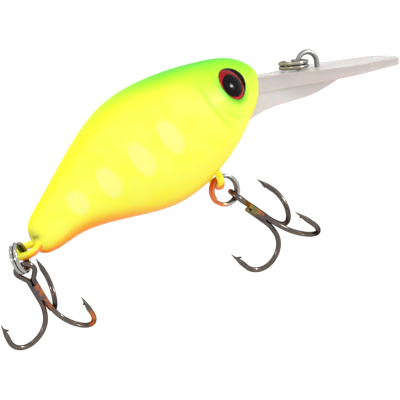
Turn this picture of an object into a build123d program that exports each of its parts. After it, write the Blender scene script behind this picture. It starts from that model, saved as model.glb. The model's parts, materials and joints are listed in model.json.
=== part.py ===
from build123d import *
from math import cos, radians, sin, sqrt
import os

# Crankbait lure. Millimetres. While it is built, X runs forward from the tail end, Y to the lure's
# left and Z up. Every piece is moved at the end, so that the origin is the centre of the line tie.

# ---------------------------------------------------------------- body
body_length = 40.0          # tail end to nose
body_height = 17.6          # belly to back, at the deepest
body_width = 13.0           # flank to flank, at the widest
wall = 1.2                  # shell thickness
cavity_rear = 6.0           # where the hollow starts, from the tail end
cavity_front = 32.0         # where it ends, behind the eyes
fit = 0.03                  # clearance of a piece in its moulded pocket

# Sections of the body: share of the length, then belly line, back line and breadth, as shares of
# the height, the height and the width. The belly and back lines are measured from the tail's level.
stations = [
    (0.000, -0.070, 0.050, 0.085),
    (0.012, -0.125, 0.125, 0.210),
    (0.050, -0.155, 0.190, 0.310),
    (0.150, -0.150, 0.315, 0.460),
    (0.290, -0.205, 0.485, 0.710),
    (0.410, -0.290, 0.600, 0.890),
    (0.520, -0.350, 0.640, 0.985),
    (0.630, -0.345, 0.625, 1.000),
    (0.740, -0.275, 0.580, 0.960),
    (0.830, -0.185, 0.525, 0.815),
    (0.910, -0.080, 0.460, 0.565),
    (0.965, 0.020, 0.380, 0.415),
    (0.990, 0.125, 0.310, 0.300),
    (1.000, 0.180, 0.260, 0.170),
]

# Moulded features inside the shells: place along the length and height above the tail's level
pin_diameter = 1.4
pin_length = 1.3            # how far a locating pin crosses the parting plane
nose_pin_length = 0.55      # of the pin through the lip's tongue, in the other half's plastic
pin_clearance = 0.05
boss_wall = 0.9             # plastic around a pocket or a chamber
tail_pin = (4.4, 1.2)
back_pin = (21.0, 9.1)

ballast_diameter = 4.4
ballast_length = 7.0
ballast_place = (22.6, -2.5)

rattle_ball_diameter = 3.0
rattle_bore = 3.4
rattle_travel = 2.2         # of the ball, each way from the middle
rattle_places = {"front_rattle_ball": (26.0, 5.2), "rear_rattle_ball": (16.4, 3.9)}
ball_lift = 0.05            # of the ball's underside over the chamber's floor

# ---------------------------------------------------------------- eyes
eye_diameter = 4.6
eye_behind_nose = 5.1
eye_height = 5.2            # above the tail's level
eye_place = (body_length - eye_behind_nose, eye_height)
eye_forward = 30.0          # how far the eye looks forward, degrees
eye_up = 18.0               # and upward
eye_recess = 0.95           # depth of the flat socket below the head's surface
eye_disc_thickness = 0.2
eye_rim = 0.45              # straight edge of the clear lens
eye_dome = 0.75             # rise of its dome over the edge

# ---------------------------------------------------------------- diving lip
lip_root_forward = 0.3      # root of the lip's top face, ahead of the nose
lip_root_height = 3.13      # and above the tail's level
lip_slope = 21.0            # downward, degrees
lip_length = 21.2
lip_thickness = 2.1
lip_tip_thickness = 0.9
lip_half_width = 5.9
lip_waist = 2.2             # half width of the blade at its root
lip_widest = 12.4           # distance of the widest place from the root
lip_sides = [(0.27, 0.44), (0.66, 0.86)]    # shares of that distance and of the half width
lip_shoulder = (0.6, 0.82)  # shares of the way on to the tip, and of the half width
neck_half_width = 2.0
neck_depth = 5.9            # of the neck below the top face, at the chin
neck_end_depth = 2.4
neck_length = 10.4
neck_chin = 3.2             # how far blade and neck run back behind the root, to the head
neck_runout = 3.4           # from the neck's end to where its underside meets the blade
neck_unders = [(0.32, 0.68), (0.78, 0.55)]  # underside: shares of the neck's length and depth
tongue_half_width = 1.6
tongue_length = 4.6         # held in the head
tongue_root = 1.6           # of the tongue, in the neck
tongue_top = 0.8            # depth of the tongue's top below the lip's top face
tongue_height = 2.6

# ---------------------------------------------------------------- wires
line_tie_wire_diameter = 0.7
line_tie_radius = 1.475     # of the wire's centre line
line_tie_forward = 8.15     # centre of the loop from the lip's root, along the lip
line_tie_height = 0.8       # centre of the loop above the lip's top face
line_tie_depth = 1.7        # of its feet below the top face
foot_length = 0.5           # straight part of a clinched foot
foot_bend = 0.6             # its bend radius

belly_hanger_wire = 0.95
belly_hanger_radius = 1.6
belly_hanger_place = (28.2, -7.4)   # centre of the bow's wire
belly_hanger_legs = 4.5     # from the centre of the bow to the feet

tail_hanger_wire = 1.05
tail_hanger_radius = 1.5
tail_hanger_place = (-1.55, -0.75)  # centre of the bow
tail_hanger_spread = 30.0   # how far the legs splay from each other's line, degrees
tail_hanger_half_gap = 0.56  # centre line of a leg from the middle
tail_hanger_roll = 10.0     # of the flat loop about the length, right side down, degrees
tail_hanger_embedded = 3.6  # length of the legs in the tail
tail_hanger_corner = 35.0   # where the ring rides on the bow, from its rear end, degrees

loop_blend = 1.0            # bend radius where a leg runs into a pear-shaped loop

# ---------------------------------------------------------------- split rings
ring_wire = 0.55
ring_pitch = 0.58           # between the two coils
ring_jog = 40.0             # angle over which one coil passes into the other
hook_ring_diameter = 4.5    # outside
line_ring_diameter = 4.2
ring_hang = 0.97            # centre line of the ring's wire to that of the wire it rides on
tail_ring_hang = 1.1        # the same on the tail hanger's thicker wire
line_ring_offset = 0.325    # of the line ring's wire from the centre of the line tie

# ---------------------------------------------------------------- treble hooks
hook_wire = 0.7
braze_gap = 0.03            # between the three shanks
hook_eye_radius = 1.28      # of the wire's centre line
hook_eye_spread = 30.0
hook_hang = 0.96            # centre line of the eye's wire to that of the ring's wire
shank_end = 7.4             # from the eye's top to where the hooks leave the shank
single_start = 3.7          # where the third hook's shank starts
braze_start = 4.1
braze_end = 7.0
braze_diameter = 1.24
hook_shoulder_radius = 8.0  # bends of a hook from the shank down to the spear, and their turns
hook_shoulder_turn = 20.0
hook_bend_radius = 3.5
hook_bend_turn = 75.0
hook_throat_radius = 2.7
hook_throat_turn = 88.0
spear_length = 1.2          # straight, before the taper
point_length = 2.2
point_radius = 0.03
barb_height = 0.28
barb_length = 0.75
barb_thickness = 0.3
barb_place = 0.6            # where it meets the point, as a share of the point's length
barb_notch = 0.2            # undercut behind it, as a share of its length

# Where the hanging parts rest, degrees
belly_ring_lean = -32.0     # about the belly hanger's bow, forward
belly_treble_lean = -10.4   # about the ring's wire
belly_treble_twist = 17.4   # about the shank
tail_ring_yaw = 8.0         # of the ring across the bow's wire
tail_ring_turn = 180.0      # of the ring in its plane: its ends are on top
tail_ring_lean = -100.0     # it lies out to the right, level with the bow
tail_treble_round = 97.0    # from where the ring hangs furthest, round to the treble
tail_treble_swing = 29.0    # about the ring's axis
tail_treble_lean = 7.1
tail_treble_twist = -8.0
tail_treble_slack = 0.6    # how far the treble has slid back along its shank


# ---------------------------------------------------------------- helpers
def wire_path(start, heading, moves):
    """A bent wire's centre line in the XY plane: a move is a straight length or (radius, turn)."""
    edges = []
    point = Vector(*start)
    for move in moves:
        along = Vector(cos(radians(heading)), sin(radians(heading)))
        if isinstance(move, tuple):
            radius, turn = move
            edge = JernArc(start=point, tangent=along, radius=radius, arc_size=turn)
            heading += turn
        else:
            edge = Line(point, point + along * move)
        edges.append(edge)
        point = edge @ 1
    return edges


def tube(edges, diameter):
    """Round wire along a chain of edges."""
    path = Wire(edges)
    start = Plane(origin=path @ 0, z_dir=path % 0)
    return sweep(start * Circle(diameter / 2), path=path)


def cylinder_across(place, diameter, half_length):
    """A cylinder along Y, centred on the parting plane."""
    x, z = place
    return Pos(x, 0, z) * Rot(90, 0, 0) * Cylinder(diameter / 2, 2 * half_length)


def loop_moves(radius, half_gap, spread, blend):
    """Moves from one leg round a pear-shaped loop to the other leg, and the loop's length."""
    turn = radians(spread)
    straight = (radius * cos(turn) - half_gap - blend * (1 - cos(turn))) / sin(turn)
    moves = [(blend, spread), straight, (radius, -180 - 2 * spread), straight, (blend, spread)]
    return moves, blend * sin(turn) + straight * cos(turn) + radius * sin(turn)


def staple(radius, legs, diameter):
    """A U of wire with clinched feet, in the XY plane: its bow points to -Y, from the origin."""
    straight = legs - foot_bend
    moves = [
        foot_length, (foot_bend, 90), straight, (radius, -180), straight, (foot_bend, 90), foot_length,
    ]
    start = (radius + foot_bend + foot_length, legs)
    edges = wire_path(start, 180, moves)
    return tube(edges, diameter)


# ---------------------------------------------------------------- body
def section(station, inset=0.0):
    """One oval section of the body, in its plane across the length."""
    along, belly, back, breadth = station
    middle = (belly + back) / 2 * body_height
    plane = Plane(origin=(along * body_length, 0, middle), x_dir=(0, 1, 0), z_dir=(1, 0, 0))
    half_height = (back - belly) / 2 * body_height
    return plane * Ellipse(breadth * body_width / 2 - inset, half_height - inset)


def station_at(x):
    """The body's section at a place along it, between its neighbours."""
    along = x / body_length
    for low, high in zip(stations, stations[1:]):
        if low[0] <= along <= high[0]:
            part = (along - low[0]) / (high[0] - low[0])
            return tuple(a + part * (b - a) for a, b in zip(low, high))
    return stations[-1]


def flank(place):
    """The body's half breadth at a place on its side."""
    x, z = place
    _, belly, back, breadth = station_at(x)
    level = (z / body_height - (back + belly) / 2) / ((back - belly) / 2)
    return breadth * body_width / 2 * sqrt(1 - level * level)


def belly_line(x):
    return station_at(x)[1] * body_height


def hull():
    """The outside of the whole body."""
    return loft([section(station) for station in stations])


def cavity():
    """The hollow between the two shells."""
    inner = [s for s in stations if cavity_rear < s[0] * body_length < cavity_front]
    ends = [station_at(cavity_rear)] + inner + [station_at(cavity_front)]
    return loft([section(station, wall) for station in ends])


def half_space(side):
    size = 4 * body_length
    return Pos(0, side * size / 2, 0) * Box(size, size, size)


def bosses():
    """Plastic that carries the pockets: it is trimmed to the body afterwards."""
    hanger_x, hanger_z = belly_hanger_place
    hanger_top = hanger_z + belly_hanger_radius + belly_hanger_legs + belly_hanger_wire / 2 + boss_wall
    hanger_width = belly_hanger_wire + 2 * boss_wall
    hanger_height = hanger_top - belly_line(hanger_x)
    hanger_boss = Pos(hanger_x, 0, hanger_top - hanger_height / 2) * Box(
        hanger_width, body_width, hanger_height
    )
    ballast_half = ballast_length / 2 + boss_wall
    solids = [
        hanger_boss,
        cylinder_across(ballast_place, ballast_diameter + 2 * boss_wall, ballast_half),
        cylinder_across(back_pin, pin_diameter + 2 * boss_wall, body_width / 2),
    ]
    chamber_half = rattle_travel + rattle_ball_diameter / 2 + boss_wall
    for place in rattle_places.values():
        solids.append(cylinder_across(place, rattle_bore + 2 * boss_wall, chamber_half))
    return solids


def chambers():
    """The rattle chambers and the ballast's bed."""
    solids = [cylinder_across(ballast_place, ballast_diameter + 2 * fit, ballast_length / 2 + fit)]
    for place in rattle_places.values():
        solids.append(cylinder_across(place, rattle_bore, rattle_travel + rattle_ball_diameter / 2))
    return solids


def pins():
    """Place of each locating pin and its reach past the parting plane: the nose pin holds the tongue."""
    nose_reach = tongue_half_width + fit + nose_pin_length
    return [(tail_pin, pin_length), (back_pin, pin_length), (tongue_hole(), nose_reach)]


def shell(side, outside, hollow, pockets):
    """One moulded half of the body: side is -1 for the right half, 1 for the left half."""
    half = outside & half_space(side)
    shape = half - hollow
    for boss in bosses():
        shape += boss & half
    for pocket in chambers() + pockets:
        shape -= pocket
    for place, reach in pins():
        if side < 0:
            shape += cylinder_across(place, pin_diameter, reach)
        else:
            shape -= cylinder_across(place, pin_diameter + 2 * pin_clearance, reach + pin_clearance)
    return shape


# ---------------------------------------------------------------- eyes
def eye_plane(side):
    """Plane of the socket's floor, with its normal out of the head."""
    forward = radians(eye_forward)
    up = radians(eye_up)
    normal = Vector(sin(forward) * cos(up), side * cos(forward) * cos(up), sin(up))
    x, z = eye_place
    surface = Vector(x, side * flank(eye_place), z)
    return Plane(origin=surface - normal * eye_recess, z_dir=normal)


def eye_socket(side):
    depth = 2 * eye_diameter
    return eye_plane(side) * Pos(0, 0, depth / 2) * Cylinder(eye_diameter / 2 + fit, depth)


def eye_disc(side):
    middle = Pos(0, 0, eye_disc_thickness / 2)
    return eye_plane(side) * middle * Cylinder(eye_diameter / 2, eye_disc_thickness)


def eye_lens(side):
    """Clear domed lens on the disc: a straight edge under a cap of a sphere."""
    rim = eye_diameter / 2
    sphere_radius = (rim * rim + eye_dome * eye_dome) / (2 * eye_dome)
    height = eye_rim + eye_dome
    column = Pos(0, 0, height / 2) * Cylinder(rim, height)
    ball = Pos(0, 0, height - sphere_radius) * Sphere(sphere_radius)
    return eye_plane(side) * Pos(0, 0, eye_disc_thickness) * (column & ball)


# ---------------------------------------------------------------- diving lip
def lip_plane():
    """Local X runs down along the lip's top face, local Y to the left, local Z out of the face."""
    slope = radians(lip_slope)
    root = (body_length + lip_root_forward, 0, lip_root_height)
    return Plane(origin=root, x_dir=(cos(slope), 0, -sin(slope)), z_dir=(sin(slope), 0, cos(slope)))


def tongue_hole():
    """Place of the pin through the tongue, along the body and above the tail's level."""
    middle = Vector(-tongue_length / 2 - lip_root_forward, 0, -tongue_top - tongue_height / 2)
    place = lip_plane().from_local_coords(middle)
    return place.X, place.Z


def lip_blade():
    """The blade: its outline from above, cut from a slab that thins towards the tip."""
    side = [(0, lip_waist)]
    side += [(lip_widest * along, lip_half_width * across) for along, across in lip_sides]
    side.append((lip_widest, lip_half_width))
    onward, across = lip_shoulder
    side.append((lip_widest + (lip_length - lip_widest) * onward, lip_half_width * across))
    side.append((lip_length, 0))
    edge = Spline(*side, tangents=[(1, 0), (0, -1)])
    back = -neck_chin
    root = Polyline((0, lip_waist), (back, lip_waist), (back, -lip_waist), (0, -lip_waist))
    outline = Wire([edge, *mirror(edge, Plane.XZ).edges(), *root.edges()])
    plan = extrude(make_face(outline), amount=-2 * lip_thickness)
    profile = Plane.XZ * Polygon(
        (back, 0),
        (lip_length, 0),
        (lip_length, -lip_tip_thickness),
        (0, -lip_thickness),
        (back, -lip_thickness),
        align=None,
    )
    slab = extrude(profile, amount=lip_half_width * 2, both=True)
    return plan & slab


def lip_neck():
    """The deep neck under the blade, which stiffens it and holds the line tie."""
    chin = (-neck_chin, -neck_depth)
    end = (neck_length + neck_runout, -lip_thickness / 2)
    middle = [(neck_length * along, -neck_depth * deep) for along, deep in neck_unders]
    under = Spline(chin, *middle, (neck_length, -neck_end_depth), end)
    top = Polyline(end, (end[0], -lip_thickness / 4), (chin[0], -lip_thickness / 4), chin)
    profile = make_face(Wire([under, *top.edges()]))
    return Plane.XZ * extrude(profile, amount=neck_half_width, both=True)


def lip_tongue(clearance=0.0):
    """The tongue that the two shells grip."""
    back = -tongue_length - clearance
    height = tongue_height + 2 * clearance
    middle = Pos((back + tongue_root) / 2, 0, -tongue_top - tongue_height / 2)
    return middle * Box(tongue_root - back, 2 * (tongue_half_width + clearance), height)


def diving_lip(outside, tie_pocket):
    shape = lip_plane() * (lip_blade() + lip_neck())
    shape = shape - outside + lip_plane() * lip_tongue()
    shape -= cylinder_across(tongue_hole(), pin_diameter + 2 * pin_clearance, body_width)
    return shape - tie_pocket


# ---------------------------------------------------------------- wires in the body
def line_tie_centre():
    return lip_plane().from_local_coords(Vector(line_tie_forward, 0, line_tie_height))


def line_tie_wire(clearance=0.0):
    slope = radians(lip_slope)
    plane = Plane(
        origin=line_tie_centre(), x_dir=(cos(slope), 0, -sin(slope)), z_dir=(0, 1, 0)
    )
    legs = line_tie_height + line_tie_depth
    return plane * staple(line_tie_radius, legs, line_tie_wire_diameter + 2 * clearance)


def belly_hook_hanger(clearance=0.0):
    x, z = belly_hanger_place
    plane = Plane(origin=(x, 0, z + belly_hanger_radius), x_dir=(0, 1, 0), z_dir=(1, 0, 0))
    diameter = belly_hanger_wire + 2 * clearance
    return plane * staple(belly_hanger_radius, belly_hanger_legs, diameter)


def tail_hook_hanger(clearance=0.0):
    """A pear-shaped loop behind the tail, rolled a little, with its two legs in the tail."""
    x, z = tail_hanger_place
    moves, length = loop_moves(tail_hanger_radius, tail_hanger_half_gap, tail_hanger_spread, loop_blend)
    leg = tail_hanger_embedded - (x + length)
    edges = wire_path((tail_hanger_embedded, -tail_hanger_half_gap), 180, [leg, *moves, leg])
    return Pos(0, 0, z) * Rot(tail_hanger_roll, 0, 0) * tube(edges, tail_hanger_wire + 2 * clearance)


# ---------------------------------------------------------------- split rings
def ring_middle(diameter):
    """Radius of the centre line of a split ring's wire."""
    return (diameter - ring_wire) / 2


def split_ring(diameter):
    """Two flat coils, one on the other, joined by a short jog; both ends stop at the jog."""
    radius = ring_middle(diameter)
    half_jog = ring_jog / 2
    sweep_angle = 360 - ring_jog
    level = ring_pitch / 2
    lower = CenterArc((0, 0, -level), radius, half_jog, sweep_angle)
    upper = CenterArc((0, 0, level), radius, half_jog, sweep_angle)
    jog = Spline(lower @ 1, upper @ 0, tangents=[lower % 1, upper % 0])
    return tube([lower, jog, upper], ring_wire)


def hanging_plane(pivot, hinge, lean):
    """Frame of a ring on its hanger: local Y is the hinge, local Z hangs from it."""
    down = Vector(0, 0, -1).rotate(Axis((0, 0, 0), hinge), lean)
    return Plane(origin=pivot, x_dir=hinge.cross(down), z_dir=down)


def ring_centre(plane, hang=ring_hang):
    """Frame at the centre of a hook ring, in line with its plane."""
    return plane.location * Pos(0, 0, ring_middle(hook_ring_diameter) - hang)


def hook_ring(centre, turn=0.0):
    return centre * Rot(90, 0, turn) * split_ring(hook_ring_diameter)


def belly_ring_plane():
    x, z = belly_hanger_place
    return hanging_plane((x, 0, z), Vector(0, 1, 0), belly_ring_lean)


def tail_ring_plane():
    x, z = tail_hanger_place
    corner = radians(tail_hanger_corner)
    turned = radians(tail_hanger_corner + tail_ring_yaw)
    rolled = Pos(x, 0, z) * Rot(tail_hanger_roll, 0, 0)
    pivot = rolled * Pos(-tail_hanger_radius * cos(corner), -tail_hanger_radius * sin(corner), 0)
    return hanging_plane(pivot.position, Vector(sin(turned), -cos(turned), 0), tail_ring_lean)


def belly_ring_centre():
    return ring_centre(belly_ring_plane())


def tail_ring_centre():
    return ring_centre(tail_ring_plane(), tail_ring_hang)


def line_tie_ring():
    """Lies back on the lip, round the rear leg of the line tie."""
    offset = ring_middle(line_ring_diameter) + line_ring_offset
    centre = Pos(line_tie_forward - offset, 0, line_tie_height)
    return lip_plane() * centre * Rot(0, 0, 90) * split_ring(line_ring_diameter)


# ---------------------------------------------------------------- treble hooks
shank_offset = (hook_wire + braze_gap) / sqrt(3)    # of each shank's wire from the hook's axis
arm_angles = {"single": 0.0, "left": 120.0, "right": -120.0}


def treble_hinge(centre, around=0.0):
    """Frame on a ring where a treble hangs: local X along the ring's wire, local Z away from it."""
    return centre * Rot(0, around, 0) * Pos(0, 0, ring_middle(hook_ring_diameter))


def belly_treble_location():
    """Frame of the belly treble: local Z runs down the shank, local X to the single hook."""
    return treble_hinge(belly_ring_centre()) * Rot(belly_treble_lean, 0, 0) * Rot(0, 0, belly_treble_twist)


def tail_treble_location():
    """The same of the tail treble, which is also turned in the ring's plane."""
    hinge = treble_hinge(tail_ring_centre(), tail_treble_round)
    turned = hinge * Rot(0, tail_treble_swing, 0) * Rot(tail_treble_lean, 0, 0)
    return turned * Rot(0, 0, tail_treble_twist) * Pos(0, 0, -tail_treble_slack)


def arm_plane(arm):
    """Plane of one hook: local X points away from the shank, local Y down along it."""
    angle = radians(arm_angles[arm])
    return Plane(origin=(0, 0, 0), x_dir=(cos(angle), sin(angle), 0), z_dir=(sin(angle), -cos(angle), 0))


def arm_edges(start):
    """Centre line of one hook from a place on its shank to the taper of its point."""
    moves = [shank_end - start] if start < shank_end else []
    moves += [
        (hook_shoulder_radius, -hook_shoulder_turn),
        (hook_bend_radius, -hook_bend_turn),
        (hook_throat_radius, -hook_throat_turn),
    ]
    moves.append(spear_length)
    return wire_path((shank_offset, start - hook_hang), 90, moves)


def hook_point(edges):
    """Tapered point with its barb on the side of the shank."""
    end = edges[-1] @ 1
    along = edges[-1] % 1
    cone = Cone(hook_wire / 2, point_radius, point_length, align=(Align.CENTER, Align.CENTER, Align.MIN))
    front = point_length * barb_place
    back = front - barb_length
    notch = back + barb_length * barb_notch
    barb = Polygon((front, 0), (back, hook_wire / 2 + barb_height), (notch, 0), align=None)
    barb = extrude(barb, amount=barb_thickness / 2, both=True)
    return Plane(origin=end, z_dir=along) * cone + Plane(origin=end, x_dir=along, z_dir=(0, 0, -1)) * barb


def single_hook():
    edges = arm_edges(single_start)
    return arm_plane("single") * (tube(edges, hook_wire) + hook_point(edges))


def double_hook():
    """One wire: hook, shank, eye, shank, hook."""
    half_gap = shank_offset * sin(radians(60))
    moves, length = loop_moves(hook_eye_radius, half_gap, hook_eye_spread, loop_blend)
    shank = shank_end - hook_eye_radius - length
    eye_plane = Plane(origin=(-shank_offset / 2, 0, 0), x_dir=(0, 1, 0), z_dir=(1, 0, 0))
    eye = wire_path((half_gap, shank_end - hook_hang), 270, [shank, *moves, shank])
    edges = [eye_plane * edge for edge in eye]
    points = []
    for arm in ("left", "right"):
        arm_line = arm_edges(shank_end)
        edges += [arm_plane(arm) * edge for edge in arm_line]
        points.append(arm_plane(arm) * hook_point(arm_line))
    return tube(edges, hook_wire) + points[0] + points[1]


def hook_braze(hooks):
    """Brazing metal in the grooves between the three shanks."""
    length = braze_end - braze_start
    middle = Pos(0, 0, (braze_start + braze_end) / 2 - hook_hang)
    shape = middle * Cylinder(braze_diameter / 2, length)
    for hook in hooks:
        shape -= hook
    return shape


def treble(prefix, location):
    """The three pieces of a treble hook, in place."""
    double = double_hook()
    single = single_hook()
    pieces = {
        prefix + "_double_hook": double,
        prefix + "_single_hook": single,
        prefix + "_hook_braze": hook_braze([double, single]),
    }
    return {name: location * piece for name, piece in pieces.items()}


# ---------------------------------------------------------------- the whole lure
def rattle_ball(place):
    x, z = place
    drop = (rattle_bore - rattle_ball_diameter) / 2 - ball_lift
    return Pos(x, 0, z - drop) * Sphere(rattle_ball_diameter / 2)


def build():
    """Every piece by its name, with the origin still at the tail end."""
    outside = hull()
    hollow = cavity()
    pockets = [
        lip_plane() * lip_tongue(fit),
        belly_hook_hanger(fit),
        tail_hook_hanger(fit),
    ]
    pieces = {}
    for name, side in (("right", -1), ("left", 1)):
        pieces[name + "_body_shell"] = shell(side, outside, hollow, pockets + [eye_socket(side)])
        pieces[name + "_eye_disc"] = eye_disc(side)
        pieces[name + "_eye_lens"] = eye_lens(side)
    pieces["diving_lip"] = diving_lip(outside, line_tie_wire(fit))
    pieces["line_tie_wire"] = line_tie_wire()
    pieces["belly_hook_hanger"] = belly_hook_hanger()
    pieces["tail_hook_hanger"] = tail_hook_hanger()
    pieces["belly_ballast"] = cylinder_across(ballast_place, ballast_diameter, ballast_length / 2)
    for name, place in rattle_places.items():
        pieces[name] = rattle_ball(place)
    pieces["line_tie_ring"] = line_tie_ring()
    pieces["belly_split_ring"] = hook_ring(belly_ring_centre())
    pieces["tail_split_ring"] = hook_ring(tail_ring_centre(), tail_ring_turn)
    pieces.update(treble("belly", belly_treble_location()))
    pieces.update(treble("tail", tail_treble_location()))
    return pieces


def main():
    os.makedirs("parts", exist_ok=True)
    to_origin = Pos(*(-line_tie_centre()))
    for name, piece in build().items():
        export_step(to_origin * piece, f"parts/{name}.step")


if __name__ == "__main__":
    main()
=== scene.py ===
"""Crankbait lure: painted body, eyes, lip, wires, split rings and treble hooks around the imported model."""

import json
import math

import bpy
import numpy as np
from bpy.props import FloatProperty, FloatVectorProperty, PointerProperty
from mathutils import Matrix, Vector


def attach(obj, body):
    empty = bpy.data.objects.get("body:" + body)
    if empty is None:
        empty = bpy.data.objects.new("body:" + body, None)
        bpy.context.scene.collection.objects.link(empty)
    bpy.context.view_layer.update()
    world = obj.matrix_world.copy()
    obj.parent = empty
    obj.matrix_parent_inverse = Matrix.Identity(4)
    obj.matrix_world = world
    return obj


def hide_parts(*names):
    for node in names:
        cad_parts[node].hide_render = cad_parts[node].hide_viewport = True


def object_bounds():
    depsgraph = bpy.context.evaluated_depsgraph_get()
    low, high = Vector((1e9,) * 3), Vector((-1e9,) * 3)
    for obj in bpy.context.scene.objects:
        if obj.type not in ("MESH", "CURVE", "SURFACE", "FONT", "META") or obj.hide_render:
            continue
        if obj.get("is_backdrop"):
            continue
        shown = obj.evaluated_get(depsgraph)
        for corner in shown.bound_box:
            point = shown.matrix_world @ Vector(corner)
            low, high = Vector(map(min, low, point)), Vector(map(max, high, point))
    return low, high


bl_info = {
    "name": "Crankbait Lure",
    "version": (1, 0, 0),
    "blender": (4, 5, 0),
    "location": "View3D > Sidebar > Crankbait",
    "description": "Dresses the packed crankbait lure and sets its stage",
    "category": "Object",
}

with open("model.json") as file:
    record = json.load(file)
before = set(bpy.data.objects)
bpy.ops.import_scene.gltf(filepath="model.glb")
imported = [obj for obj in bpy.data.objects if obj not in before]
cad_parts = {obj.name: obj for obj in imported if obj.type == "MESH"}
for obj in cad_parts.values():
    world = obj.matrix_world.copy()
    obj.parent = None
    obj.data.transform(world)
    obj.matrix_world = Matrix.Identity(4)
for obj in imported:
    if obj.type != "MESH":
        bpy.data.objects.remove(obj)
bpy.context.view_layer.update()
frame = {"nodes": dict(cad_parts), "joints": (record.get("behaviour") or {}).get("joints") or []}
JOINTS = {joint["name"]: joint for joint in frame["joints"]}

MM = 0.001

# ---------------------------------------------------------------- sizes of the body, millimetres
BODY_LENGTH = 40.0
BODY_HEIGHT = 17.6
BODY_WIDTH = 13.0
# Share of the length, then belly line, back line and breadth, as shares of height, height and width
STATIONS = np.array([
    (0.000, -0.070, 0.050, 0.085),
    (0.012, -0.125, 0.125, 0.210),
    (0.050, -0.155, 0.190, 0.310),
    (0.150, -0.150, 0.315, 0.460),
    (0.290, -0.205, 0.485, 0.710),
    (0.410, -0.290, 0.600, 0.890),
    (0.520, -0.350, 0.640, 0.985),
    (0.630, -0.345, 0.625, 1.000),
    (0.740, -0.275, 0.580, 0.960),
    (0.830, -0.185, 0.525, 0.815),
    (0.910, -0.080, 0.460, 0.565),
    (0.965, 0.020, 0.380, 0.415),
    (0.990, 0.125, 0.310, 0.300),
    (1.000, 0.180, 0.260, 0.170),
])
SECTIONS = STATIONS * (BODY_LENGTH, BODY_HEIGHT, BODY_HEIGHT, BODY_WIDTH / 2)
BELLY_HANGER = np.array((28.2, 0.0, -7.4))  # its bow, from the tail end at the tail's level
TAIL_END = np.array(JOINTS["belly_ring_swing"]["pos_m"]) / MM - BELLY_HANGER
SIDES = (("right", -1), ("left", 1))
WALL = 1.2
CAVITY = (6.0, 32.0)  # where the hollow starts and ends along the body

EYE_PLACE = (34.9, 5.2)  # along the body and above the tail's level
EYE_RADIUS = 2.3
EYE_FORWARD = math.radians(30.0)
EYE_UP = math.radians(18.0)
EYE_RECESS = 0.95  # depth of the socket's floor below the flank
EYE_GAP = 0.03
LENS_SEAT = 0.2  # the lens stands on the printed disc
LENS_WALL = 0.45
LENS_DOME = 0.75
LENS_EDGE = 0.16  # round of the lens's edge
PUPIL_AHEAD = 0.11  # middle of the pupil, ahead of the eye's middle and below it
PUPIL_BELOW = 0.24
LIP_SLOPE = math.radians(21.0)
LIP_ROOT = (0.3, 3.13)  # root of its top face, ahead of the nose and above the tail's level

# ---------------------------------------------------------------- places of paint, millimetres
# Creases in side view, along the body and above the tail's level, and half their breadth
GILL_LINE = ((30.0, 8.0), (29.55, 5.9), (29.7, 4.4), (30.3, 2.1), (31.4, 0.35))
CHEEK_LINE = ((31.2, 3.4), (31.9, 2.0), (33.0, 0.9), (34.4, 0.4))
GILL_HALF = 0.30
CHEEK_HALF = 0.28
# Middle of each netted patch along the body and above the tail's level, half its height and breadth
PATCHES = ((22.1, 3.9, 2.7, 1.45), (17.1, 3.2, 2.8, 1.45), (11.8, 2.5, 2.5, 1.4), (7.0, 2.0, 1.9, 1.3))
PATCH_LEAN = math.radians(10)
NET_PITCH = 0.78  # from thread to thread along the body
NET_SLOPE = 0.8  # how far a thread runs along the body as it climbs by one
# Place along the body, then the angle from the back line that green and lime reach, or their share
BACK_REACH = ((14, 0.30), (20, 0.50), (26, 0.75), (31, 0.80), (35, 1.05), (38, 1.6), (40, 1.7))
BACK_SHARE = ((12, 0.0), (17, 0.18), (20, 0.42), (23, 0.7), (26, 0.95), (29, 1.0))
LIME_REACH = ((12, 0.5), (20, 0.8), (27, 1.0), (30, 2.0), (33, 2.45), (36, 2.6), (40, 2.4))
LIME_SHARE = ((12, 0.0), (18, 0.25), (24, 0.45), (28, 0.55), (33, 1.0))
RIDGE_SHARE = ((25, 0.0), (29, 0.3), (34, 0.75), (38, 0.7))
# The same for the belly's orange: angles from the belly line where it starts to fade and is gone
ORANGE_FULL = ((1, 0.40), (5, 0.55), (8, 0.50), (11, 0.35), (17, 0.15), (26, 0.10), (31, 0.0))
ORANGE_GONE = ((1, 1.2), (5, 1.35), (11, 1.05), (17, 0.8), (26, 0.75), (31, 0.5), (36, 0.5), (40, 0.9))
# Coats of spray over the yellow, in their order: first what the netted patches cover, then what
# covers them. Each has its mark, strength and colour
# The rich and gold coats deepen the yellow towards back and belly, so that the paler flank between is partly
# a painted highlight.
UNDER_COATS = (("rich", 0.85, "rich_yellow"), ("gold", 0.85, "golden"))
TOP_COATS = (
    ("lime", 0.9, "lime"),
    ("back", 1.0, "green"),
    ("ridge", 0.9, "emerald"),
    ("shade", 0.9, "eye_green"),
    ("belly", 1.0, "orange"),
    ("tail", 0.8, "tail_orange"),
)
# Middle of each tinted place on the hooks, from the tail end, its radius, colour and strength
HOOK_TINTS = {
    "belly": (
        ((31.0, -0.4, -11.2), 1.9, "olive", 0.8),
        ((31.6, -0.4, -12.6), 1.7, "olive", 0.7),
        ((30.6, -0.6, -11.6), 1.0, "overspray", 0.8),
        ((32.6, -0.4, -13.6), 1.1, "overspray", 0.7),
        ((29.6, 0.2, -9.1), 1.1, "overspray", 0.6),
    ),
    "tail": (
        ((-2.3, -1.0, -5.7), 0.9, "overspray", 0.9),
        ((-2.0, -0.6, -6.9), 0.9, "overspray", 0.9),
        ((-1.6, -0.3, -8.1), 0.9, "overspray", 0.9),
        ((-1.4, 1.2, -9.0), 1.3, "overspray", 0.5),
        ((1.3, -4.2, -13.0), 2.4, "overspray", 0.8),
    ),
}
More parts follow.
